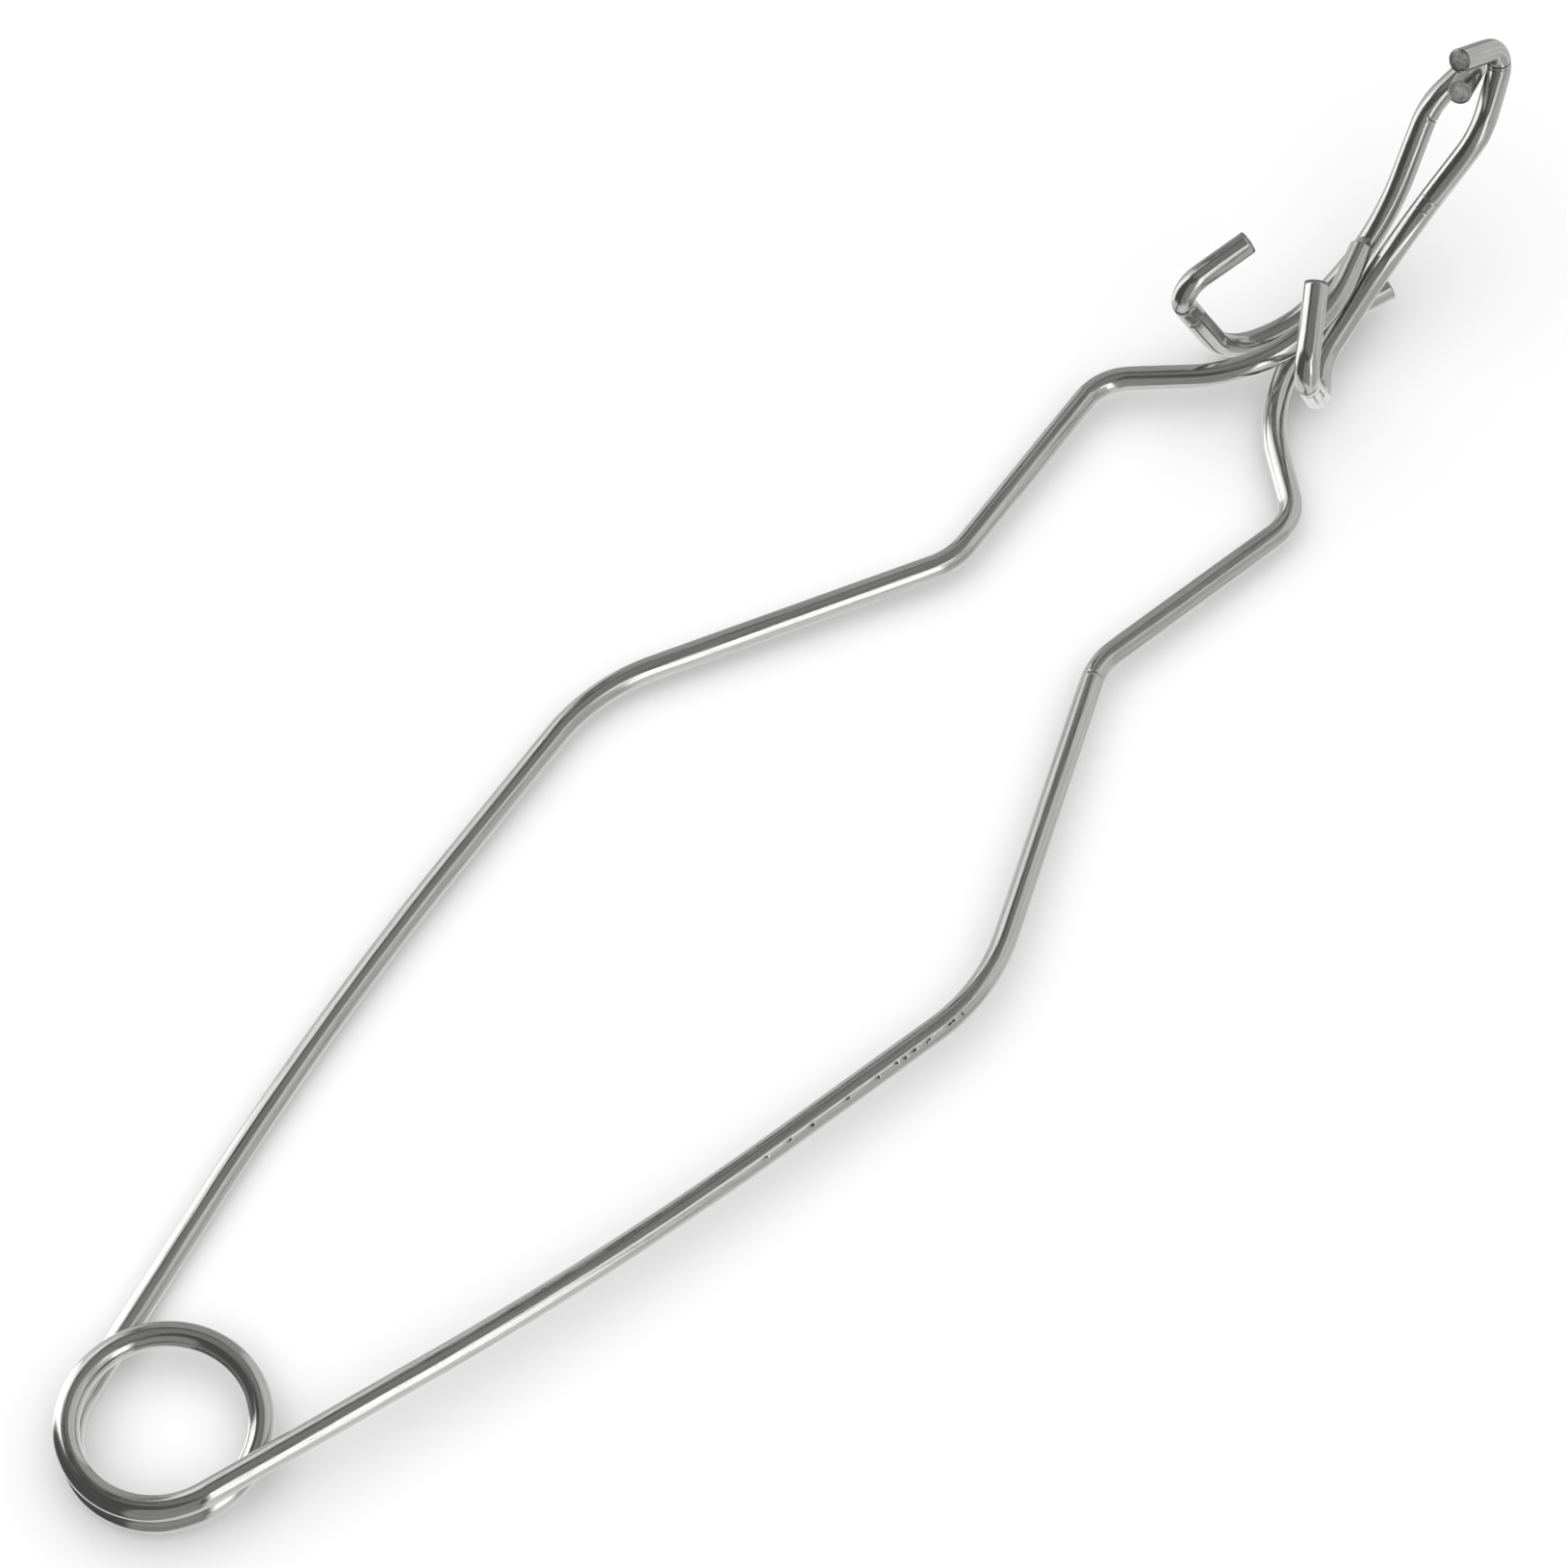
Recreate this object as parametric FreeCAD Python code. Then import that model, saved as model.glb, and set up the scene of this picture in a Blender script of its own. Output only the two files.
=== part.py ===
import FreeCAD, Part
import math
import os

# Bent spring-wire dish tongs, lying flat with the jaws closed. All sizes are in mm.
# Frame: the origin is on the ground under the middle of the spring coil, +X runs along the
# middle line to the jaw tips, +Y is the left lever's side and +Z is up, along the coil's axis.

WIRE_D = 4.5
WIRE_R = WIRE_D / 2.0

# Spring coil: a right-handed helix that starts at the left arm and ends at the right arm.
COIL_MEAN_R = 16.0
COIL_LOW_Z = WIRE_R
COIL_HIGH_Z = 8.97

# Bend corners of each wire: (x, y, z, bend radius). The first and last are cut ends.
LEFT_ARM_BENDS = [
    (71.8, 35.7, 3.1, 670.0),
    (150.6, 47.3, 3.9, 38.0),
    (214.0, 17.2, 4.5, 14.0),
    (261.7, 23.4, 5.0, 9.0),
    (283.8, -6.3, 11.3, 30.0),
]
LEFT_ARM_END = (310.5, 2.3, 15.2)

RIGHT_ARM_BENDS = [
    (71.8, -35.7, 7.6, 670.0),
    (150.6, -47.3, 6.2, 38.0),
    (214.0, -17.2, 5.1, 14.0),
    (261.7, -23.4, 4.2, 9.0),
    (283.8, 5.4, 4.0, 30.0),
]
RIGHT_ARM_END = (311.8, -3.9, 6.9)

LEFT_JAW_START = (289.0, 12.4, 29.4)
LEFT_JAW_BENDS = [
    (273.2, 16.4, 25.9, 4.6),
    (283.6, 11.7, 1.5, 9.0),
    (295.7, 5.0, 3.3, 28.5),
    (316.6, 2.7, 12.3, 48.0),
    (333.8, 6.6, 32.1, 14.0),
    (345.0, 4.3, 37.2, 3.2),
]
LEFT_JAW_END = (330.8, -1.5, 45.0)

RIGHT_JAW_START = (286.1, -5.7, 36.0)
RIGHT_JAW_BENDS = [
    (272.0, -15.3, 29.6, 4.6),
    (284.6, -9.8, 5.1, 5.7),
    (290.8, -4.8, 6.1, 13.1),
    (318.0, -1.5, 15.0, 34.0),
    (332.4, -6.2, 35.2, 14.0),
    (345.8, -0.5, 44.1, 3.6),
]
RIGHT_JAW_END = (332.6, 0.6, 50.6)

# Weld beads that fill the narrow gap between each jaw wire and its arm.
WELD_R = 1.7
WELD_HALF_LENGTH = 1.0

# The arms are made a little too long at the coil and trimmed to an upright radial plane.
TRIM_EXTRA = 1.0
TRIM_BOX = 8.0


def vector(point):
    return FreeCAD.Vector(point[0], point[1], point[2])


def unit(a, b):
    """Direction from point a to point b."""
    step = b - a
    step.normalize()
    return step


def coil_contact(bend, side):
    """Heading and point where an arm's straight line leaves the coil. side is +1 left, -1 right."""
    reach = math.hypot(bend[0], bend[1])
    bearing = math.atan2(abs(bend[1]), bend[0])
    heading = bearing - math.asin(COIL_MEAN_R / reach)
    x = -COIL_MEAN_R * math.sin(heading)
    y = side * COIL_MEAN_R * math.cos(heading)
    return heading, x, y


def wire_pieces(start, bends, end):
    """Straight and bent stretches of one wire: ("line", a, b) or ("arc", a, centre, axis, angle)."""
    corners = [vector(start)] + [vector(bend) for bend in bends] + [vector(end)]
    pieces = []
    here = corners[0]
    for index, bend in enumerate(bends):
        corner = corners[index + 1]
        inward = unit(corners[index], corner)
        outward = unit(corner, corners[index + 2])
        turn = inward.getAngle(outward)
        radius = bend[3]
        reach = radius * math.tan(turn / 2.0)
        bend_start = corner - inward * reach
        bend_end = corner + outward * reach
        axis = inward.cross(outward)
        axis.normalize()
        centre = bend_start + axis.cross(inward) * radius
        pieces.append(("line", here, bend_start))
        pieces.append(("arc", bend_start, inward, centre, axis, math.degrees(turn)))
        here = bend_end
    pieces.append(("line", here, corners[-1]))
    return pieces


def wire_solid(pieces):
    """Round wire of WIRE_D along the pieces, as one solid."""
    solids = []
    for piece in pieces:
        if piece[0] == "line":
            a, b = piece[1], piece[2]
            solids.append(Part.makeCylinder(WIRE_R, a.distanceToPoint(b), a, unit(a, b)))
        else:
            a, along, centre, axis, angle = piece[1:]
            section = Part.Face(Part.Wire(Part.makeCircle(WIRE_R, a, along)))
            solids.append(section.revolve(centre, axis, angle))
    return solids[0].fuse(solids[1:]).removeSplitter().Solids[0]


def arm_solid(bends, end, side, coil_z):
    """One handle arm, trimmed where it meets the coil."""
    heading, x, y = coil_contact(bends[0], side)
    contact = FreeCAD.Vector(x, y, coil_z)
    outward = unit(contact, vector(bends[0]))
    start = contact - outward * TRIM_EXTRA
    arm = wire_solid(wire_pieces(start, bends, end))
    box = Part.makeBox(TRIM_BOX, TRIM_BOX, TRIM_BOX)
    box.translate(FreeCAD.Vector(-TRIM_BOX, -TRIM_BOX / 2.0, -TRIM_BOX / 2.0))
    box.rotate(FreeCAD.Vector(0, 0, 0), FreeCAD.Vector(0, 0, 1), side * math.degrees(heading))
    box.translate(contact)
    return arm.cut(box).Solids[0]


def coil_solid():
    """Spring coil between the two arms. Its end faces are upright radial planes."""
    heading, x, y = coil_contact(LEFT_ARM_BENDS[0], 1)
    sweep = 540.0 - 2.0 * math.degrees(heading)
    rise = COIL_HIGH_Z - COIL_LOW_Z
    pitch = rise * 360.0 / sweep
    helix = Part.makeHelix(pitch, rise, COIL_MEAN_R)
    section = Part.Wire(Part.makeCircle(WIRE_R, FreeCAD.Vector(COIL_MEAN_R, 0, 0), FreeCAD.Vector(0, 1, 0)))
    coil = Part.Wire(helix.Edges).makePipeShell([section], True, True)
    coil.rotate(FreeCAD.Vector(0, 0, 0), FreeCAD.Vector(0, 0, 1), 90.0 + math.degrees(heading))
    coil.translate(FreeCAD.Vector(0, 0, COIL_LOW_Z))
    return coil.Solids[0]


def centre_line(pieces):
    """The wire's centre line as edges."""
    edges = []
    for piece in pieces:
        if piece[0] == "line":
            edges.append(Part.makeLine(piece[1], piece[2]))
        else:
            a, along, centre, axis, angle = piece[1:]
            edges.append(Part.Vertex(a).revolve(centre, axis, angle))
    return Part.makeCompound(edges)


def weld_solid(arm_bends, arm_end, jaw_start, jaw_bends, jaw_end, arm, jaw):
    """Bead where an arm and a jaw wire come closest, shaped by the two wires."""
    arm_line = centre_line(wire_pieces(arm_bends[-2][:3], arm_bends[-1:], arm_end))
    jaw_line = centre_line(wire_pieces(jaw_start, jaw_bends, jaw_end))
    gap = arm_line.distToShape(jaw_line)
    on_arm, on_jaw = gap[1][0]
    middle = (on_arm + on_jaw) * 0.5
    across = unit(on_jaw, on_arm)
    base = middle - across * WELD_HALF_LENGTH
    bead = Part.makeCylinder(WELD_R, 2.0 * WELD_HALF_LENGTH, base, across)
    return bead.cut(arm).cut(jaw).Solids[0]


os.makedirs("parts", exist_ok=True)

spring_coil = coil_solid()
left_arm = arm_solid(LEFT_ARM_BENDS, LEFT_ARM_END, 1, COIL_LOW_Z)
right_arm = arm_solid(RIGHT_ARM_BENDS, RIGHT_ARM_END, -1, COIL_HIGH_Z)
left_jaw = wire_solid(wire_pieces(LEFT_JAW_START, LEFT_JAW_BENDS, LEFT_JAW_END))
right_jaw = wire_solid(wire_pieces(RIGHT_JAW_START, RIGHT_JAW_BENDS, RIGHT_JAW_END))
left_weld = weld_solid(LEFT_ARM_BENDS, LEFT_ARM_END, LEFT_JAW_START, LEFT_JAW_BENDS, LEFT_JAW_END,
                       left_arm, left_jaw)
right_weld = weld_solid(RIGHT_ARM_BENDS, RIGHT_ARM_END, RIGHT_JAW_START, RIGHT_JAW_BENDS, RIGHT_JAW_END,
                        right_arm, right_jaw)

spring_coil.exportStep("parts/spring_coil.step")
left_arm.exportStep("parts/left_arm.step")
right_arm.exportStep("parts/right_arm.step")
left_jaw.exportStep("parts/left_jaw.step")
right_jaw.exportStep("parts/right_jaw.step")
left_weld.exportStep("parts/left_weld.step")
right_weld.exportStep("parts/right_weld.step")
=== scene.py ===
import math
import random

import bpy
from mathutils import Matrix, Quaternion, Vector, noise


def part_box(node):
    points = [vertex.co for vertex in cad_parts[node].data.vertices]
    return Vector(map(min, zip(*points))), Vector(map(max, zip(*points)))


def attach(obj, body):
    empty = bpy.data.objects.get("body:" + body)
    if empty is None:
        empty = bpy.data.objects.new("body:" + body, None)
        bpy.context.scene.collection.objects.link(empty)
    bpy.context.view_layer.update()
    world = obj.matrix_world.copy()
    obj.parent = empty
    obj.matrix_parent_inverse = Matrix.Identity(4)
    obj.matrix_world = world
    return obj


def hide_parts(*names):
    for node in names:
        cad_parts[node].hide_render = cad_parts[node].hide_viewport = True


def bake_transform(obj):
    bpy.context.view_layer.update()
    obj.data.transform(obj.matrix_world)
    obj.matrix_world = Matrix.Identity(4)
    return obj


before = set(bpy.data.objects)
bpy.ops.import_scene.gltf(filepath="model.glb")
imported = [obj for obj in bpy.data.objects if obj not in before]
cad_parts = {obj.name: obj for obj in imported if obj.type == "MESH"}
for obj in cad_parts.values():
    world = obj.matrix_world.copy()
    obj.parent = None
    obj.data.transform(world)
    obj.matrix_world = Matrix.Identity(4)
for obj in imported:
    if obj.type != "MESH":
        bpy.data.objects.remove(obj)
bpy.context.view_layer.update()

MM = 0.001

# ---------------------------------------------------------------- the wires, in mm, as in the CAD
WIRE_R = 2.25
COIL_MEAN_R = 16.0
COIL_LOW_Z = WIRE_R
COIL_HIGH_Z = 8.97

# Bend corners of each wire: (x, y, z, bend radius).
LEFT_ARM_BENDS = [
    (71.8, 35.7, 3.1, 670.0),
    (150.6, 47.3, 3.9, 38.0),
    (214.0, 17.2, 4.5, 14.0),
    (261.7, 23.4, 5.0, 9.0),
    (283.8, -6.3, 11.3, 30.0),
]
LEFT_ARM_END = (310.5, 2.3, 15.2)

RIGHT_ARM_BENDS = [
    (71.8, -35.7, 7.6, 670.0),
    (150.6, -47.3, 6.2, 38.0),
    (214.0, -17.2, 5.1, 14.0),
    (261.7, -23.4, 4.2, 9.0),
    (283.8, 5.4, 4.0, 30.0),
]
RIGHT_ARM_END = (311.8, -3.9, 6.9)

LEFT_JAW_START = (289.0, 12.4, 29.4)
LEFT_JAW_BENDS = [
    (273.2, 16.4, 25.9, 4.6),
    (283.6, 11.7, 1.5, 9.0),
    (295.7, 5.0, 3.3, 28.5),
    (316.6, 2.7, 12.3, 48.0),
    (333.8, 6.6, 32.1, 14.0),
    (345.0, 4.3, 37.2, 3.2),
]
LEFT_JAW_END = (330.8, -1.5, 45.0)

RIGHT_JAW_START = (286.1, -5.7, 36.0)
RIGHT_JAW_BENDS = [
    (272.0, -15.3, 29.6, 4.6),
    (284.6, -9.8, 5.1, 5.7),
    (290.8, -4.8, 6.1, 13.1),
    (318.0, -1.5, 15.0, 34.0),
    (332.4, -6.2, 35.2, 14.0),
    (345.8, -0.5, 44.1, 3.6),
]
RIGHT_JAW_END = (332.6, 0.6, 50.6)

# ---------------------------------------------------------------- mesh detail, in mm
PLAIN_SIDES = 48
FINE_SIDES = 96
PLAIN_STEP = 0.8
BEND_STEP = 0.3
MARK_STEP = 0.08
END_ROUND = 0.16
TIGHT_BEND = 16.0
WIDE_BEND = 60.0
BEND_FLAT = 0.10
BEND_RUN = 3.0
JOIN_CALM = 4.0


def coil_contact(bend, side):
    """Heading and point where an arm leaves the coil. side is +1 on the left and -1 on the right."""
    reach = math.hypot(bend[0], bend[1])
    heading = math.atan2(abs(bend[1]), bend[0]) - math.asin(COIL_MEAN_R / reach)
    x = -COIL_MEAN_R * math.sin(heading)
    y = side * COIL_MEAN_R * math.cos(heading)
    return heading, x, y


def turned(vector, axis, angle):
    """vector turned about axis."""
    result = vector.copy()
    result.rotate(Quaternion(axis, angle))
    return result


class WirePath:
    """A wire's centre line of straights and round bends, which can be asked for any distance along it."""

    def __init__(self, start, bends, end):
        corners = [Vector(start)] + [Vector(bend[:3]) for bend in bends] + [Vector(end)]
        self.parts = []
        self.bend_spans = []
        here = corners[0]
        walked = 0.0
        first = (corners[1] - corners[0]).normalized()
        up = Vector((0, 0, 1))
        normal = (up - first * up.dot(first)).normalized()
        for index, bend in enumerate(bends):
            corner = corners[index + 1]
            inward = (corner - corners[index]).normalized()
            outward = (corners[index + 2] - corner).normalized()
            turn = inward.angle(outward)
            reach = bend[3] * math.tan(turn / 2)
            begin = corner - inward * reach
            straight = (begin - here).length
            self.parts.append((walked, here, inward, normal, None, 0.0))
            walked += straight
            axis = inward.cross(outward).normalized()
            arc = bend[3] * turn
            self.parts.append((walked, begin, inward, normal, axis, bend[3]))
            self.bend_spans.append((walked, walked + arc, bend[3]))
            walked += arc
            normal = turned(normal, axis, turn)
            here = corner + outward * reach
        last = (corners[-1] - here).length
        self.parts.append((walked, here, (corners[-1] - here).normalized(), normal, None, 0.0))
        self.length = walked + last

    def at(self, distance):
        """Point, tangent, normal and the outside direction of the bend (or None) at a distance."""
        for part in reversed(self.parts):
            if distance >= part[0] or part is self.parts[0]:
                break
        begin, point, along, normal, axis, radius = part
        step = distance - begin
        if axis is None:
            return point + along * step, along, normal, None
        angle = step / radius
        inside = axis.cross(along)
        centre = point + inside * radius
        spot = centre - turned(inside, axis, angle) * radius
        return spot, turned(along, axis, angle), turned(normal, axis, angle), -turned(inside, axis, angle)


class CoilPath:
    """The coil's centre line, from the left arm round to the right arm."""

    def __init__(self):
        heading = coil_contact(LEFT_ARM_BENDS[0], 1)[0]
        self.first_angle = math.pi / 2 + heading
        self.sweep = 3 * math.pi - 2 * heading
        self.length = self.sweep * COIL_MEAN_R
        self.bend_spans = []

    def at(self, distance):
        share = distance / self.length
        angle = self.first_angle + share * self.sweep
        radial = Vector((math.cos(angle), math.sin(angle), 0))
        spot = radial * COIL_MEAN_R
        spot.z = COIL_LOW_Z + share * (COIL_HIGH_Z - COIL_LOW_Z)
        tangent = Vector((-math.sin(angle), math.cos(angle), 0))
        return spot, tangent, Vector((0, 0, 1)), None


def smooth(low, high, value):
    """0 below low, 1 above high and a smooth rise between."""
    share = min(1.0, max(0.0, (value - low) / (high - low)))
    return share * share * (3 - 2 * share)


# ---------------------------------------------------------------- marks that bending dies leave
def groove(distance, facing, depth=0.09, width=0.22, bow=0.6, spread=65):
    """A shallow line pressed across the wire, bowed like the edge of a round die."""
    return {"kind": "groove", "at": distance, "facing": Vector(facing).normalized(), "depth": depth,
            "width": width, "bow": bow, "spread": math.radians(spread)}


def flat(begin, end, facing, depth=0.12, fade=0.25, run_out=3.5):
    """A flat pressed along the wire. It starts with a step and runs out gently."""
    return {"kind": "flat", "begin": begin, "end": end, "facing": Vector(facing).normalized(),
            "depth": depth, "fade": fade, "run_out": run_out, "half": math.acos((WIRE_R - depth) / WIRE_R)}


def pit(distance, facing, length, width, depth):
    """A small dent. length and width are how far it reaches from its middle, along and round the wire."""
    return {"kind": "pit", "at": distance, "facing": Vector(facing).normalized(), "depth": depth,
            "length": length, "width": width}


# How far the painted shade spreads from a flat's edge, and how dark it is painted in a pit compared with a
# groove.
FLAT_EDGE = math.radians(4.5)
PIT_SHADE = 1.7


def pressed_in(marks, distance, direction, radius):
    """Radius and painted shade at one point of the surface once the marks are pressed in."""
    # Painted shade: the value gathered here darkens the colour in the grooves, pits and flat edges.
    recess_shade = 0.0
    for mark in marks:
        lean = direction.dot(mark["facing"])
        off = math.acos(max(-1.0, min(1.0, lean)))
        if mark["kind"] == "groove":
            if off < mark["spread"]:
                middle = mark["at"] + mark["bow"] * off * off
                across = (distance - middle) / mark["width"]
                fade = 1 - smooth(mark["spread"] * 0.6, mark["spread"], off)
                radius -= mark["depth"] * fade * math.exp(-across * across)
                radius += 0.35 * mark["depth"] * fade * math.exp(-(abs(across) - 1.9) ** 2 * 2.5)
                recess_shade = max(recess_shade, fade * math.exp(-across * across * 1.5) * min(1.0, mark["depth"] / 0.10))
        elif mark["kind"] == "pit":
            along = (distance - mark["at"]) / mark["length"]
            if abs(along) < 3:
                across = WIRE_R * off / mark["width"]
                dent = math.exp(-along * along - across * across)
                radius -= mark["depth"] * dent
                recess_shade = max(recess_shade, PIT_SHADE * dent)
        elif mark["begin"] - mark["fade"] < distance < mark["end"] + mark["run_out"] and lean > 0.3:
            share = smooth(mark["begin"] - mark["fade"], mark["begin"], distance)
            share *= 1 - smooth(mark["end"], mark["end"] + mark["run_out"], distance)
            level = (WIRE_R - mark["depth"]) / lean
            if level < radius:
                radius += (level - radius) * share
            edge = (off - mark["half"]) / FLAT_EDGE
            recess_shade = max(recess_shade, share * math.exp(-edge * edge))
    return radius, recess_shade


def ring_distances(path, marks):
    """Where the rings of a wire go: close together in bends and marks, and apart elsewhere."""
    stops = [0.0]
    while stops[-1] < path.length:
        here = stops[-1]
        step = PLAIN_STEP
        for begin, end, radius in path.bend_spans:
            if begin - 2 < here < end + 2 and radius < WIDE_BEND:
                step = min(step, BEND_STEP + 0.01 * radius)
        for mark in marks:
            edges = [mark["begin"], mark["end"]] if mark["kind"] == "flat" else [mark["at"]]
            reach = 1.4 if mark["kind"] == "groove" else 0.8
            if any(edge - reach < here < edge + reach + mark.get("bow", 0) for edge in edges):
                step = MARK_STEP
        stops.append(here + step)
    stops[-1] = path.length
    if stops[-1] - stops[-2] < 0.02:
        del stops[-2]
    return stops


def skin_point(path, marks, distance, direction, seed, plain_start, plain_end):
    """Radius and painted shade of the skin at one point: slightly uneven, flattened in bends, with the marks.
    """
    radius = WIRE_R
    for begin, end, bend_radius in path.bend_spans:
        if bend_radius < TIGHT_BEND and begin - BEND_RUN < distance < end + BEND_RUN:
            outside = path.at(min(max(distance, begin), end - 1e-6))[3]
            share = smooth(begin - BEND_RUN, begin + 1, distance)
            share *= 1 - smooth(end - 1, end + BEND_RUN, distance)
            lean = direction.dot(outside)
            # Only the outside of the bend flattens, and a tighter bend does so more.
            if lean > 0:
                radius -= BEND_FLAT * share * lean * lean * 9.0 / (bend_radius + 4.0)
    wave = noise.noise(Vector((distance * 0.05, seed, 0)))
    ripple = noise.noise(direction * 0.9 + Vector((0, seed, distance * 0.16)))
    calm = 1.0
    if plain_start:
        calm *= smooth(0.0, JOIN_CALM, distance)
    if plain_end:
        calm *= smooth(0.0, JOIN_CALM, path.length - distance)
    radius -= calm * (0.006 + 0.006 * wave + 0.012 * abs(ripple))
    return pressed_in(marks, distance, direction, radius)


# ---------------------------------------------------------------- building the tubes
# A cut end has this many rings of faces. The first few round its edge, and the first two keep the skin's look.
CAP_RINGS = 11
EDGE_RINGS = 3
SKIN_RINGS = 2
EDGE_SHRINK = 0.028
CAP_INSET = 0.02
TORN_DEPTH = 0.05


def sheared_cap(verts, faces, coords, kinds, edge_ring, spot, tangent, normal, seed, slant, shear_to):
    """Closes a cut end: a rolled edge, a slanted face, a smooth sheared part and a torn part."""
    binormal = tangent.cross(normal)
    previous = edge_ring
    sides = len(edge_ring)
    base = len(faces)
    lean = Vector((math.cos(shear_to), math.sin(shear_to), 0))
    for ring in range(1, CAP_RINGS + 1):
        share = ring / CAP_RINGS
        shrink = (1 - share) if ring > EDGE_RINGS else 1 - EDGE_SHRINK * ring * (ring + 1) / 2
        ids = []
        for side in range(sides):
            angle = 2 * math.pi * side / sides
            flat = Vector((math.cos(angle), math.sin(angle), 0))
            radius = (WIRE_R - 0.006) * shrink
            position = flat * radius
            roll = END_ROUND * (1.0 + 1.3 * max(0.0, flat.dot(lean)))
            inset = max(0.0, radius - (WIRE_R - roll))
            rise = -roll + math.sqrt(max(0.0, roll * roll - inset * inset)) if inset else 0.0
            tilt = slant * (position.dot(lean) - WIRE_R) / (2 * WIRE_R)
            waver = 0.25 * noise.noise(flat * 1.7 + Vector((0, 0, seed)))
            torn = smooth(-0.3, 0.5, -position.dot(lean) / WIRE_R + waver)
            rough = noise.noise(position * 2.2 + Vector((seed, 0, 0))) * 0.05
            rough += noise.noise(position * 6.0 + Vector((seed, 3, 0))) * 0.022
            arcs = 0.018 * math.sin((position + lean * 4.5).length * 9.0) * (1 - torn)
            depth = rise + tilt + (rough - TORN_DEPTH) * torn + arcs - CAP_INSET - TORN_DEPTH * torn
            point = spot + normal * position.x + binormal * position.y + tangent * min(0.0, depth)
            if ring == CAP_RINGS and side:
                ids.append(ids[0])
                continue
            ids.append(len(verts))
            verts.append(point * MM)
            coords.append((position.x / WIRE_R, position.y / WIRE_R, seed))
        for side in range(sides):
            after = (side + 1) % sides
            if ring == CAP_RINGS:
                faces.append((previous[side], previous[after], ids[0]))
            else:
                faces.append((previous[side], previous[after], ids[after], ids[side]))
        previous = ids
    kinds.extend([1 if index >= base + SKIN_RINGS * sides else 0 for index in range(base, len(faces))])


def plain_cap(verts, faces, coords, kinds, edge_ring, spot):
    """Closes an end that meets the next wire, with points of its own so that the skin stays smooth."""
    sides = len(edge_ring)
    rim = len(verts)
    for corner in edge_ring:
        verts.append(verts[corner].copy())
        coords.append(coords[corner])
    centre = len(verts)
    verts.append(spot * MM)
    coords.append((0, 0, 0))
    for side in range(sides):
        faces.append((rim + side, rim + (side + 1) % sides, centre))
        kinds.append(0)


def wire_mesh(name, path, marks=(), seed=1.0, start_cut=None, end_cut=None, upright=None, flow=(1, 0.0),
              sides=PLAIN_SIDES):
    """A wire as one closed mesh. start_cut and end_cut are (slant, direction) of a sheared end, or None.

    upright is the radial direction of the upright plane in which a joined start lies. flow is the sign
    and the offset that make the draw lines run on from one wire into the next.
    """
    verts, faces, coords, kinds, recess_shade = [], [], [], [], []
    rings = []
    sign, offset = flow
    for index, distance in enumerate(ring_distances(path, marks)):
        spot, tangent, normal, _ = path.at(distance)
        binormal = tangent.cross(normal)
        ids = []
        for side in range(sides):
            angle = 2 * math.pi * side / sides
            direction = normal * math.cos(angle) + binormal * math.sin(angle)
            radius, shade_here = skin_point(path, marks, distance, direction, seed, start_cut is None,
                                          end_cut is None)
            point = spot + direction * radius
            if upright is not None and index == 0:
                point -= tangent * ((point - spot).dot(upright) / tangent.dot(upright))
            ids.append(len(verts))
            verts.append(point * MM)
            coords.append((math.cos(angle), sign * math.sin(angle), (sign * distance + offset) / WIRE_R))
            recess_shade.append(shade_here)
        rings.append(ids)
    for lower, upper in zip(rings, rings[1:]):
        for side in range(sides):
            after = (side + 1) % sides
            faces.append((lower[side], lower[after], upper[after], upper[side]))
            kinds.append(0)
    begin = path.at(0.0)
    finish = path.at(path.length)
    first_ring = [rings[0][-side % sides] for side in range(sides)]
    if start_cut:
        sheared_cap(verts, faces, coords, kinds, first_ring, begin[0], -begin[1], begin[2], seed + 7,
                    *start_cut)
    else:
        plain_cap(verts, faces, coords, kinds, first_ring, begin[0])
    if end_cut:
        sheared_cap(verts, faces, coords, kinds, rings[-1], finish[0], finish[1], finish[2], seed + 13,
                    *end_cut)
    else:
        plain_cap(verts, faces, coords, kinds, rings[-1], finish[0])
    return mesh_object(name, verts, faces, coords, kinds, recess_shade)


def mesh_object(name, verts, faces, coords, kinds, recess_shade=()):
    """A smooth mesh object with its along-the-wire coordinates and its painted shade kept as attributes."""
    mesh = bpy.data.meshes.new(name)
    mesh.from_pydata([tuple(v) for v in verts], [], faces)
    mesh.update()
    layer = mesh.attributes.new("wire_place", "FLOAT_VECTOR", "POINT")
    layer.data.foreach_set("vector", [value for place in coords for value in place])
    # The painted shade of the marks' hollows is kept per point as an attribute.
    marked = mesh.attributes.new("wire_recess_shade", "FLOAT", "POINT")
    marked.data.foreach_set("value", list(recess_shade) + [0.0] * (len(verts) - len(recess_shade)))
    mesh.polygons.foreach_set("use_smooth", [True] * len(faces))
    mesh.polygons.foreach_set("material_index", kinds)
    piece = bpy.data.objects.new(name, mesh)
    bpy.context.scene.collection.objects.link(piece)
    return piece


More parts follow.
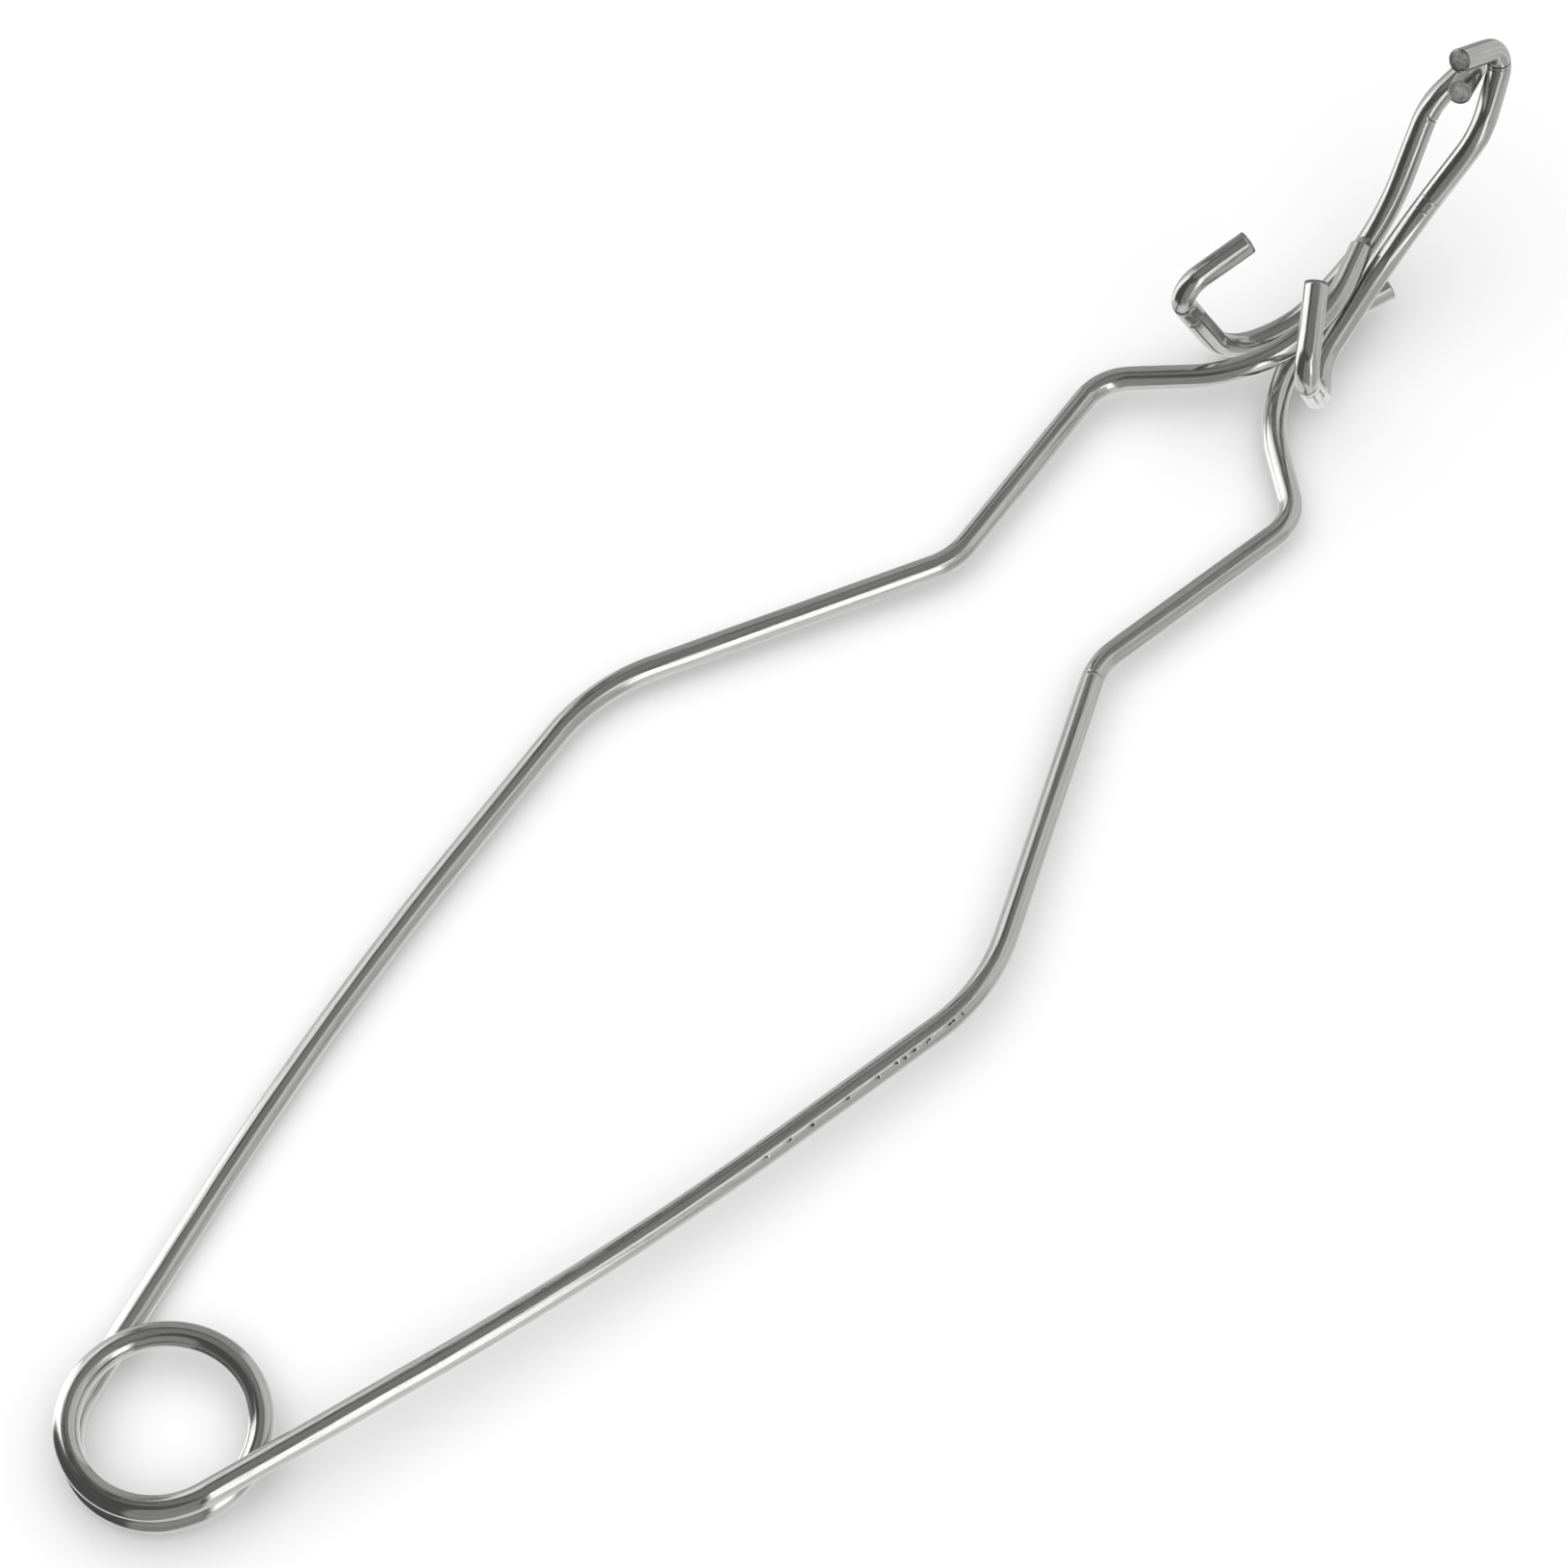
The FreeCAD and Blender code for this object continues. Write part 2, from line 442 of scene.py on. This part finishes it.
# ---------------------------------------------------------------- materials
class Nodes:
    """Short calls for building a material's nodes."""

    def __init__(self, name):
        self.material = bpy.data.materials.new(name)
        self.material.use_nodes = True
        self.tree = self.material.node_tree
        self.shader = self.tree.nodes["Principled BSDF"]

    def add(self, kind, **values):
        node = self.tree.nodes.new(kind)
        for key, value in values.items():
            if hasattr(node, key):
                setattr(node, key, value)
            else:
                node.inputs[key.replace("_", " ")].default_value = value
        return node

    def link(self, source, node, socket):
        self.tree.links.new(source, node.inputs[socket])

    def place(self, scale):
        """The wire's own coordinates, stretched: round the wire, and along it."""
        place = self.add("ShaderNodeAttribute", attribute_name="wire_place")
        mapping = self.add("ShaderNodeMapping")
        mapping.inputs["Scale"].default_value = scale
        self.link(place.outputs["Vector"], mapping, "Vector")
        return mapping.outputs["Vector"]

    def noise(self, vector, scale, detail=2.0, roughness=0.5):
        node = self.add("ShaderNodeTexNoise", Scale=scale, Detail=detail, Roughness=roughness)
        self.link(vector, node, "Vector")
        return node.outputs["Fac"]

    def spread(self, value, low, high, to_low, to_high):
        node = self.add("ShaderNodeMapRange", clamp=True)
        limits = {"From Min": low, "From Max": high, "To Min": to_low, "To Max": to_high}
        for socket, number in limits.items():
            node.inputs[socket].default_value = number
        self.link(value, node, "Value")
        return node.outputs["Result"]

    def math(self, operation, first, second):
        node = self.add("ShaderNodeMath", operation=operation)
        for index, value in enumerate((first, second)):
            if isinstance(value, (int, float)):
                node.inputs[index].default_value = value
            else:
                self.tree.links.new(value, node.inputs[index])
        return node.outputs[0]

    def ramp(self, value, stops):
        node = self.add("ShaderNodeValToRGB")
        ramp = node.color_ramp
        while len(ramp.elements) < len(stops):
            ramp.elements.new(0.5)
        for element, (position, grey) in zip(ramp.elements, stops):
            element.position = position
            element.color = (grey, grey, grey * 0.985, 1)
        self.link(value, node, "Fac")
        return node.outputs["Color"]

    def bump(self, height, strength, distance, below=None):
        node = self.add("ShaderNodeBump", Strength=strength, Distance=distance)
        self.link(height, node, "Height")
        if below is not None:
            self.link(below, node, "Normal")
        return node.outputs["Normal"]


def drawn_steel(name, pitting=0.0, dullness=0.0, lines=1.0):
    """Polished drawn wire: lengthwise draw lines, smudges, scattered specks and painted shade in the marks."""
    make = Nodes(name)
    shader = make.shader
    shader.inputs["Metallic"].default_value = 1.0
    fine = make.noise(make.place((1.0, 1.0, 0.012)), 26.0, 3.0, 0.6)
    broad = make.noise(make.place((1.0, 1.0, 0.02)), 5.0, 2.0, 0.5)
    smudge = make.noise(make.place((0.7, 0.7, 0.35)), 1.6, 4.0, 0.6)
    specks = make.add("ShaderNodeTexVoronoi", feature="F1", Scale=3.4)
    make.link(make.place((1.0, 1.0, 1.0)), specks, "Vector")
    speck_spots = make.spread(specks.outputs["Distance"], 0.05, 0.13, 1.0, 0.0)
    speck_where = make.noise(make.place((0.6, 0.6, 0.09)), 1.7, 1.0, 0.5)
    speck_mask = make.spread(speck_where, 0.60 - 0.12 * pitting, 0.72 - 0.10 * pitting, 0.0, 1.0)
    speck = make.math("MULTIPLY", speck_spots, speck_mask)
    recess_shade = make.add("ShaderNodeAttribute", attribute_name="wire_recess_shade").outputs["Fac"]
    tone = make.math("ADD", make.math("MULTIPLY", fine, 0.5), make.math("MULTIPLY", broad, 0.5))
    tone = make.math("SUBTRACT", tone, make.math("MULTIPLY", speck, 0.55))
    # Painted shade: the colour is darkened where the grooves, pits and flat edges lie.
    tone = make.math("SUBTRACT", tone, make.math("MULTIPLY", recess_shade, 0.42))
    low = 0.43 - 0.08 * dullness
    high = 0.61 - 0.08 * dullness
    make.link(make.ramp(tone, ((0.03, 0.06), (0.36, low), (0.66, high))), shader, "Base Color")
    rough = make.spread(smudge, 0.35, 0.70, 0.09 + 0.08 * dullness, 0.20 + 0.12 * dullness)
    rough = make.math("ADD", rough, make.math("MULTIPLY", fine, 0.06))
    rough = make.math("ADD", rough, make.math("MULTIPLY", speck, 0.35))
    rough = make.math("ADD", rough, make.math("MULTIPLY", recess_shade, 0.25))
    make.link(rough, shader, "Roughness")
    scores = make.bump(fine, 0.08 * lines, 0.00006)
    waves = make.bump(broad, 0.08 * lines, 0.00030, scores)
    pits = make.bump(make.math("SUBTRACT", 1.0, speck), 0.6, 0.00012, waves)
    make.link(pits, shader, "Normal")
    return make.material


def sheared_steel(name):
    """A cut end: a smooth sheared crescent and a rough torn part, darker than the drawn skin."""
    make = Nodes(name)
    shader = make.shader
    shader.inputs["Metallic"].default_value = 1.0
    place = make.place((1.0, 1.0, 1.0))
    coarse = make.noise(place, 2.4, 4.0, 0.65)
    grain = make.noise(place, 14.0, 3.0, 0.6)
    tone = make.math("ADD", make.math("MULTIPLY", coarse, 0.65), make.math("MULTIPLY", grain, 0.35))
    make.link(make.ramp(tone, ((0.30, 0.24), (0.48, 0.62), (0.66, 0.90))), shader, "Base Color")
    make.link(make.spread(coarse, 0.35, 0.65, 0.22, 0.46), shader, "Roughness")
    grains = make.bump(grain, 0.35, 0.00010)
    make.link(make.bump(coarse, 0.60, 0.00030, grains), shader, "Normal")
    return make.material


def weld_metal(name):
    """Resistance-weld metal: dull, slightly tinted and finely rippled."""
    make = Nodes(name)
    shader = make.shader
    shader.inputs["Metallic"].default_value = 1.0
    place = make.add("ShaderNodeTexCoord").outputs["Object"]
    coarse = make.noise(place, 700.0, 4.0, 0.6)
    fine = make.noise(place, 3200.0, 3.0, 0.6)
    make.link(make.ramp(coarse, ((0.30, 0.14), (0.52, 0.32), (0.72, 0.46))), shader, "Base Color")
    make.link(make.spread(fine, 0.3, 0.7, 0.28, 0.50), shader, "Roughness")
    ripples = make.bump(fine, 0.3, 0.00008)
    make.link(make.bump(coarse, 0.4, 0.00025, ripples), shader, "Normal")
    return make.material


# ---------------------------------------------------------------- the pieces
left_heading, left_x, left_y = coil_contact(LEFT_ARM_BENDS[0], 1)
right_heading, right_x, right_y = coil_contact(RIGHT_ARM_BENDS[0], -1)

coil_path = CoilPath()
left_arm_path = WirePath((left_x, left_y, COIL_LOW_Z), LEFT_ARM_BENDS, LEFT_ARM_END)
right_arm_path = WirePath((right_x, right_y, COIL_HIGH_Z), RIGHT_ARM_BENDS, RIGHT_ARM_END)
left_jaw_path = WirePath(LEFT_JAW_START, LEFT_JAW_BENDS, LEFT_JAW_END)
right_jaw_path = WirePath(RIGHT_JAW_START, RIGHT_JAW_BENDS, RIGHT_JAW_END)

# The directions that the marks face. ABOVE is up and back toward the camera.
ABOVE = Vector((-0.36, -0.37, 0.86))
BENEATH_HOOK = (-0.75, -0.35, 0.10)
LEG_FRONT = (-0.20, -0.95, 0.17)
RIGHTWARD = (0.30, -0.90, 0.45)


def square_up(path, distance):
    """The wire's direction at a distance, and ABOVE made square to it."""
    along = path.at(distance)[1]
    return along, (ABOVE - along * ABOVE.dot(along)).normalized()


def leg_flats(path, begin, length, depth, turn, lean):
    """Two flats side by side down the leg that follows a hook, left by the bending jig."""
    along, toward = square_up(path, begin)
    flats = []
    for side in (1, -1):
        facing = turned(toward, along, math.radians(turn + side * lean))
        flats.append(flat(begin, begin + length, facing, depth))
    return flats


def pit_row(path, begin, end, count, turn, seed):
    """Pits strung along one line of the wire, closer together toward the end of the row."""
    draw = random.Random(seed)
    pits = []
    for _ in range(count):
        distance = begin + (end - begin) * draw.random() ** 0.6
        along, toward = square_up(path, distance)
        facing = turned(toward, along, math.radians(turn + draw.uniform(-3, 3)))
        length = draw.uniform(0.22, 0.55)
        width = draw.uniform(0.18, 0.28)
        pits.append(pit(distance, facing, length, width, draw.uniform(0.08, 0.16)))
    return pits


# Die lines at the left hook's end, its leg and the upper bend, then the leg's flats.
left_hook_end = left_jaw_path.bend_spans[0][1]
left_upper_bend = left_jaw_path.bend_spans[4][0]
left_leg = left_hook_end + 4.1
left_jaw_marks = [
    groove(left_hook_end - 1.0, BENEATH_HOOK, depth=0.16, width=0.26, bow=-0.9, spread=80),
    groove(left_leg - 0.2, LEG_FRONT, depth=0.20, width=0.26, bow=0.35, spread=75),
    groove(left_upper_bend + 1.4, RIGHTWARD, depth=0.14, width=0.24, bow=0.3, spread=60),
]
left_jaw_marks += leg_flats(left_jaw_path, left_leg, 11.5, 0.20, 0, 24)

# The same on the right, with two lines at the tip and two faint ones on the long straight.
right_hook_end = right_jaw_path.bend_spans[0][1]
right_middle_bend = right_jaw_path.bend_spans[4][0]
right_tip_start = right_jaw_path.bend_spans[5][0]
right_leg = right_hook_end + 1.3
right_jaw_marks = [
    groove(right_hook_end - 0.6, BENEATH_HOOK, depth=0.14, width=0.26, bow=-0.8, spread=80),
    groove(right_leg - 0.2, LEG_FRONT, depth=0.16, width=0.26, bow=0.5, spread=70),
    groove(right_tip_start + 1.8, ABOVE, depth=0.12, width=0.22, bow=0.5, spread=80),
    groove(right_tip_start + 0.9, ABOVE, depth=0.05, width=0.18, bow=0.5, spread=60),
    groove(right_middle_bend - 11.2, ABOVE, depth=0.07, width=0.18, bow=0.15, spread=75),
    groove(right_middle_bend - 13.8, ABOVE, depth=0.05, width=0.18, bow=0.15, spread=50),
]
right_jaw_marks += leg_flats(right_jaw_path, right_leg, 8.0, 0.14, 10, 22)

right_waist = right_arm_path.bend_spans[2][0]
right_arm_marks = [groove(right_waist + 0.8, ABOVE, depth=0.05, width=0.25, bow=0.2, spread=60)]
right_arm_marks += pit_row(right_arm_path, 98.0, 152.0, count=15, turn=19, seed=5)

steel_arm = drawn_steel("drawn_steel_arm")
steel_pitted = drawn_steel("drawn_steel_pitted", pitting=0.6)
steel_coil = drawn_steel("drawn_steel_coil")
steel_jaw = drawn_steel("drawn_steel_jaw", pitting=0.2, dullness=0.3, lines=0.5)
cut_end = sheared_steel("sheared_end")
weld = weld_metal("weld_metal")


def finish_piece(piece, materials, body, node):
    """Materials, body and CAD node of one piece."""
    for material in materials:
        piece.data.materials.append(material)
    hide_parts(node)
    if body is not None:
        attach(piece, body)
    return piece


def radial(heading, side):
    """Level direction square to the upright plane in which an arm joins the coil."""
    return Vector((math.cos(heading), side * math.sin(heading), 0))


left_arm = wire_mesh("left_arm_wire", left_arm_path, (), 1.3,
                     end_cut=(0.5, 2.4), upright=radial(left_heading, 1), flow=(-1, 0.0))
finish_piece(left_arm, [steel_arm, cut_end], "left_lever", "left_arm")

right_arm = wire_mesh("right_arm_wire", right_arm_path, right_arm_marks, 4.7,
                      end_cut=(0.4, 0.6), upright=radial(right_heading, -1), flow=(1, coil_path.length),
                      sides=FINE_SIDES)
finish_piece(right_arm, [steel_pitted, cut_end], "right_lever", "right_arm")

left_jaw = wire_mesh("left_jaw_wire", left_jaw_path, left_jaw_marks, 8.1,
                     start_cut=(0.7, 1.2), end_cut=(0.25, 1.0), flow=(1, 40.0), sides=FINE_SIDES)
finish_piece(left_jaw, [steel_jaw, cut_end], "left_lever", "left_jaw")

right_jaw = wire_mesh("right_jaw_wire", right_jaw_path, right_jaw_marks, 11.9,
                      start_cut=(0.7, 2.0), end_cut=(0.5, 0.2), flow=(1, 90.0), sides=FINE_SIDES)
finish_piece(right_jaw, [steel_jaw, cut_end], "right_lever", "right_jaw")

coil = wire_mesh("spring_coil_wire", coil_path, (), 2.9, flow=(1, 0.0))
finish_piece(coil, [steel_coil], None, "spring_coil")
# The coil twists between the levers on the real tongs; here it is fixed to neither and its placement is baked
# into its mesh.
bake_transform(coil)


def weld_bead(name, node, body, along, size, seed):
    """An uneven bead, longest along the groove between the two wires that it joins."""
    low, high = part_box(node)
    centre = (low + high) / 2
    long_axis = Vector(along).normalized()
    cross = long_axis.cross(Vector((0, 0, 1))).normalized()
    upward = cross.cross(long_axis)
    rows, columns = 26, 36
    verts, faces = [], []
    for row in range(1, rows):
        polar = math.pi * row / rows
        for column in range(columns):
            turn = 2 * math.pi * column / columns
            around = math.sin(polar)
            ball = Vector((math.cos(polar), around * math.cos(turn), around * math.sin(turn)))
            swell = 1 + 0.16 * noise.noise(ball * 1.6 + Vector((seed, 0, 0)))
            swell += 0.05 * noise.noise(ball * 5 + Vector((0, seed, 0)))
            swell *= 1 - 0.30 * abs(ball.z) * abs(ball.y)
            offset = long_axis * ball.x * size[0] + cross * ball.y * size[1] + upward * ball.z * size[2]
            verts.append(centre + offset * swell * MM)
    top = len(verts)
    verts.append(centre + long_axis * size[0] * MM)
    verts.append(centre - long_axis * size[0] * MM)
    for row in range(rows - 2):
        for column in range(columns):
            after = (column + 1) % columns
            a, b = row * columns + column, row * columns + after
            faces.append((a, a + columns, b + columns, b))
    last = (rows - 2) * columns
    for column in range(columns):
        after = (column + 1) % columns
        faces.append((top, column, after))
        faces.append((top + 1, last + after, last + column))
    piece = mesh_object(name, verts, faces, [(0, 0, 0)] * len(verts), [0] * len(faces))
    return finish_piece(piece, [weld], body, node)


weld_bead("left_weld_bead", "left_weld", "left_lever", (0.90, 0.25, 0.35), (2.6, 1.5, 1.5), 5.0)
weld_bead("right_weld_bead", "right_weld", "right_lever", (0.95, -0.05, 0.25), (3.0, 1.5, 1.3), 9.0)


# ---------------------------------------------------------------- floor, light and camera
def stage_sheet(name, corners, faces, material):
    """One sheet of the set."""
    mesh = bpy.data.meshes.new(name)
    mesh.from_pydata(corners, [], faces)
    sheet = bpy.data.objects.new(name, mesh)
    bpy.context.scene.collection.objects.link(sheet)
    mesh.materials.append(material)
    return sheet


def floor_material():
    make = Nodes("pale_floor")
    make.shader.inputs["Base Color"].default_value = (0.90, 0.90, 0.90, 1)
    make.shader.inputs["Roughness"].default_value = 0.75
    return make.material


def glow_material(name, brightness):
    """A plain glowing white."""
    make = Nodes(name)
    make.shader.inputs["Base Color"].default_value = (0, 0, 0, 1)
    make.shader.inputs["Emission Color"].default_value = (1, 1, 1, 1)
    make.shader.inputs["Emission Strength"].default_value = brightness
    return make.material


def rectangle(x_low, x_high, half_width, height):
    """Corners of a level rectangle."""
    return [(x_low, -half_width, height), (x_high, -half_width, height),
            (x_high, half_width, height), (x_low, half_width, height)]


FLOOR_REACH = 3.0
floor = stage_sheet("floor", rectangle(-FLOOR_REACH, FLOOR_REACH, FLOOR_REACH, 0.0), [(0, 1, 2, 3)],
                    floor_material())
floor.visible_glossy = False

# The steel sees this card instead of the floor, so that the object's own shadow doesn't darken it.
UNDER_CARD_HEIGHT = -0.30
stage_sheet("under_card", rectangle(-0.25, 0.56, 0.36, UNDER_CARD_HEIGHT), [(0, 1, 2, 3)],
            glow_material("under_glow", 1.0))

# A pale round wall behind the set, for low views. It lights nothing and isn't mirrored in the steel.
WALL_RADIUS = 2.9
WALL_SIDES = 72
wall_corners = []
for corner in range(WALL_SIDES):
    turn = 2 * math.pi * corner / WALL_SIDES
    for height in (-0.02, WALL_RADIUS):
        wall_corners.append((WALL_RADIUS * math.cos(turn), WALL_RADIUS * math.sin(turn), height))
wall_faces = []
for corner in range(WALL_SIDES):
    after = (corner + 1) % WALL_SIDES
    wall_faces.append((2 * corner, 2 * after, 2 * after + 1, 2 * corner + 1))
wall = stage_sheet("backdrop", wall_corners, wall_faces, glow_material("backdrop_glow", 0.80))
wall.visible_glossy = False
wall.visible_diffuse = False
wall.visible_shadow = False

STAGE_MIDDLE = Vector((0.16, 0.0, 0.0))


PANEL_DISTANCE = 1.1


def panel(name, azimuth, width, low, high, brightness):
    """An upright light panel for the steel to mirror; the ceiling alone lights the floor.

    Angles are in degrees as the object sees them, and brightness is radiance, where 1 is white.
    """
    bottom = PANEL_DISTANCE * math.tan(math.radians(low))
    top = PANEL_DISTANCE * math.tan(math.radians(high))
    outward = Vector((math.cos(math.radians(azimuth)), math.sin(math.radians(azimuth)), 0))
    lamp = bpy.data.lights.new(name, "AREA")
    lamp.shape = "RECTANGLE"
    lamp.size = 2 * PANEL_DISTANCE * math.tan(math.radians(width / 2))
    lamp.size_y = top - bottom
    lamp.energy = brightness * math.pi * lamp.size * lamp.size_y
    holder = bpy.data.objects.new(name, lamp)
    bpy.context.scene.collection.objects.link(holder)
    holder.location = STAGE_MIDDLE + outward * PANEL_DISTANCE + Vector((0, 0, (bottom + top) / 2))
    holder.rotation_euler = outward.to_track_quat("Z", "Y").to_euler()
    holder.visible_diffuse = False
    return holder


# Name, azimuth, width, lower edge, upper edge and brightness.
PANELS = [
    ("left_strip", 104, 28, -48, 46, 1.9),
    ("left_corner", 80, 20, 15, 54, 1.15),
    ("left_lower", 76, 27, -45, 14, 0.70),
    ("right_strip", -104, 20, 2, 50, 1.9),
    ("right_upper", -84, 20, 34, 56, 1.2),
    ("right_lower", -106, 24, -48, 1, 0.85),
    ("right_wall", -75, 38, -45, 33, 0.54),
    ("right_corner", -64, 20, 33, 56, 0.62),
    ("far_wall", -18, 76, -45, 56, 0.70),
    ("far_corner", 42, 40, -45, 52, 0.37),
    ("near_wall", -146, 52, -40, 50, 0.27),
]
for panel_values in PANELS:
    panel(*panel_values)


def ceiling(name, place, size, brightness):
    """A level square light that shines down."""
    lamp = bpy.data.lights.new(name, "AREA")
    lamp.shape = "SQUARE"
    lamp.size = size
    lamp.energy = brightness * math.pi * size * size
    holder = bpy.data.objects.new(name, lamp)
    bpy.context.scene.collection.objects.link(holder)
    holder.location = place
    return holder


ceiling("top_card", (0.40, -0.12, 1.80), 1.7, 0.20).visible_diffuse = False
ceiling("ceiling_fill", (0.16, 0.0, 2.20), 7.0, 1.33).visible_glossy = False

world = bpy.data.worlds.new("studio")
bpy.context.scene.world = world
world.use_nodes = True
world.node_tree.nodes["Background"].inputs["Color"].default_value = (1.0, 1.0, 1.0, 1)
world.node_tree.nodes["Background"].inputs["Strength"].default_value = 0.12
bpy.context.scene.view_settings.view_transform = "Standard"

CAMERA_PLACE = (-0.1504, -0.3155, 0.7507)
CAMERA_RIGHT = Vector((0.68075, -0.73167, -0.03535))
CAMERA_UP = Vector((0.64068, 0.57131, 0.51296))
CAMERA_BACK = CAMERA_RIGHT.cross(CAMERA_UP)
FOCAL_LENGTH = 112.8

lens = bpy.data.cameras.new("camera")
lens.lens = FOCAL_LENGTH
lens.sensor_width = 36.0
lens.clip_start = 0.05
camera = bpy.data.objects.new("camera", lens)
bpy.context.scene.collection.objects.link(camera)
camera.matrix_world = Matrix.Translation(CAMERA_PLACE) @ Matrix(
    (CAMERA_RIGHT, CAMERA_UP, CAMERA_BACK)).transposed().to_4x4()
bpy.context.scene.camera = camera
